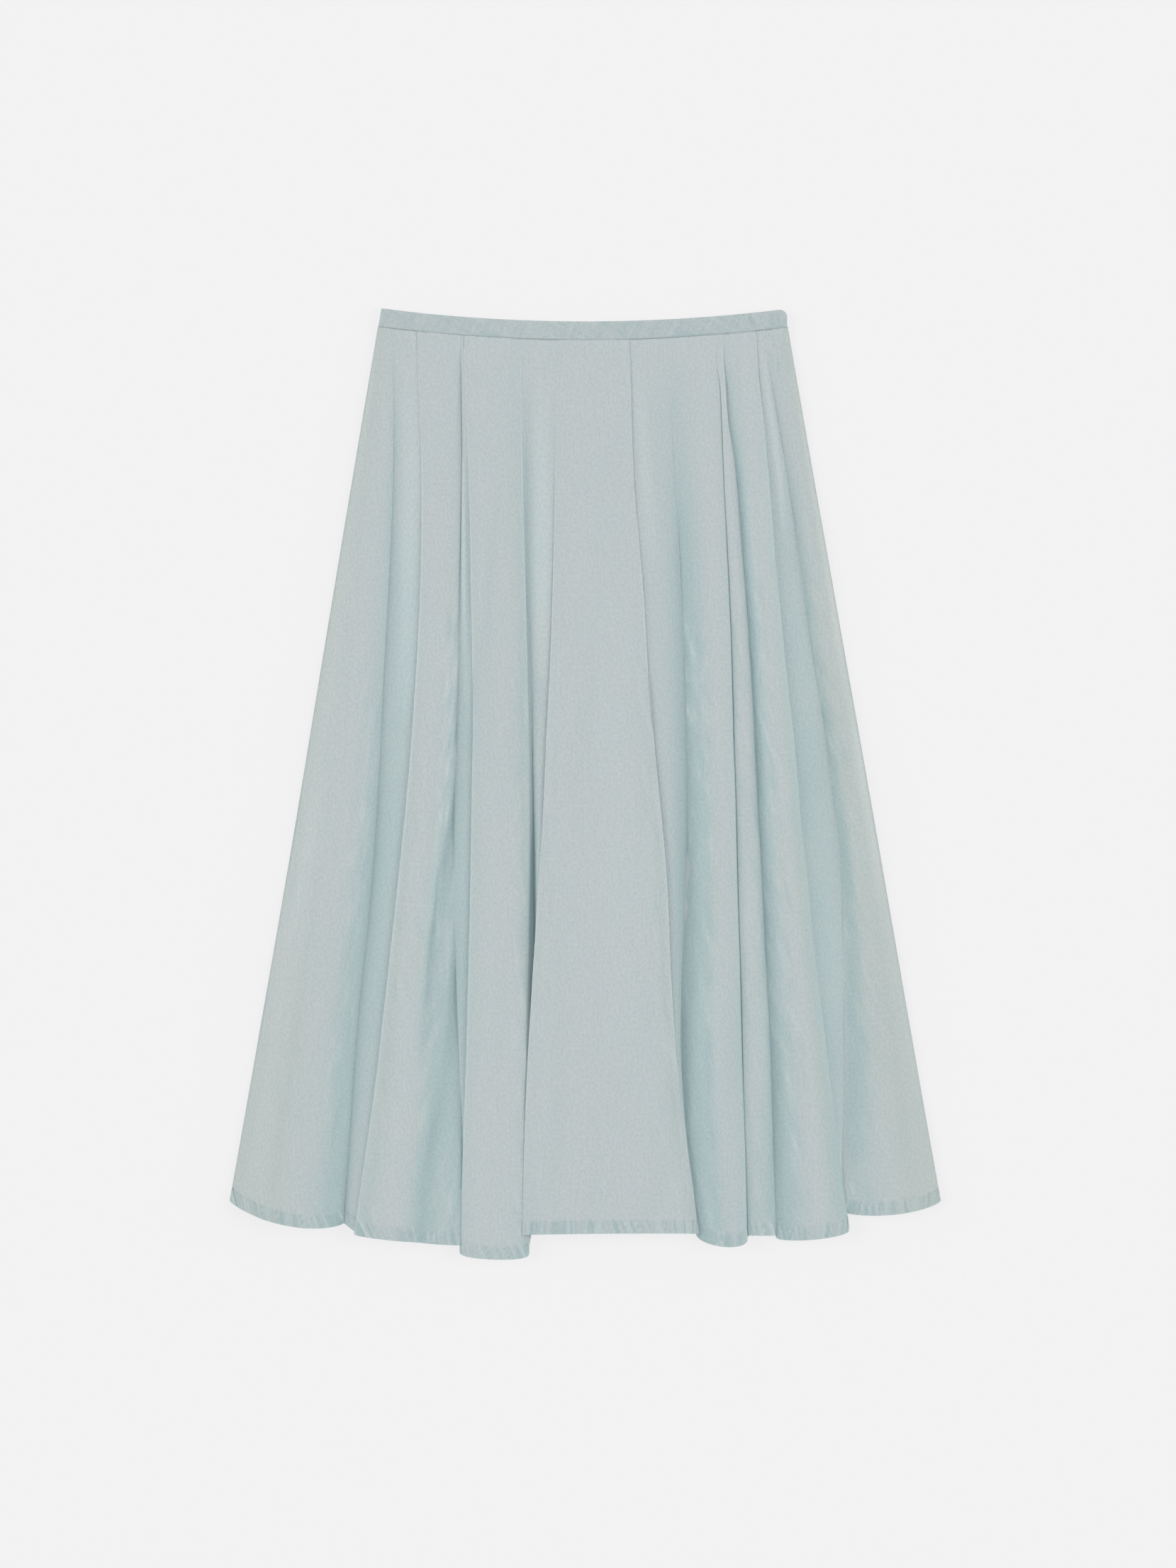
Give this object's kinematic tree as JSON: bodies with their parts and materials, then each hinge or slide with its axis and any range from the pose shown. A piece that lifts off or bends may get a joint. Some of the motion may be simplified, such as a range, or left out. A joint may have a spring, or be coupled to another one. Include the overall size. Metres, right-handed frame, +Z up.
{
  "type": "flared midi skirt, laid flat",
  "caption": "Flared midi skirt of pale blue cotton with a narrow waistband and soft unpressed folds that open towards a turned hem, laid flat.",
  "frame": {"origin": "middle of the skirt's box, on the surface that it lies on", "axes": "+Y along the skirt from hem to waist, +X across it, +Z up from the surface through the back and the front"},
  "size_m": [0.612, 0.817, 0.0201],
  "materials": {
    "skirt_cotton": "matt pale blue-grey light cotton, plain weave with fine slubs down its length",
    "band_cotton": "the same matt pale blue-grey cotton, firmer where the band is folded over"
  },
  "bodies": {
    "root": {"skirt_front": "skirt_cotton", "skirt_back": "skirt_cotton", "waistband_front": "band_cotton", "waistband_back": "band_cotton"}
  },
  "joints": []
}
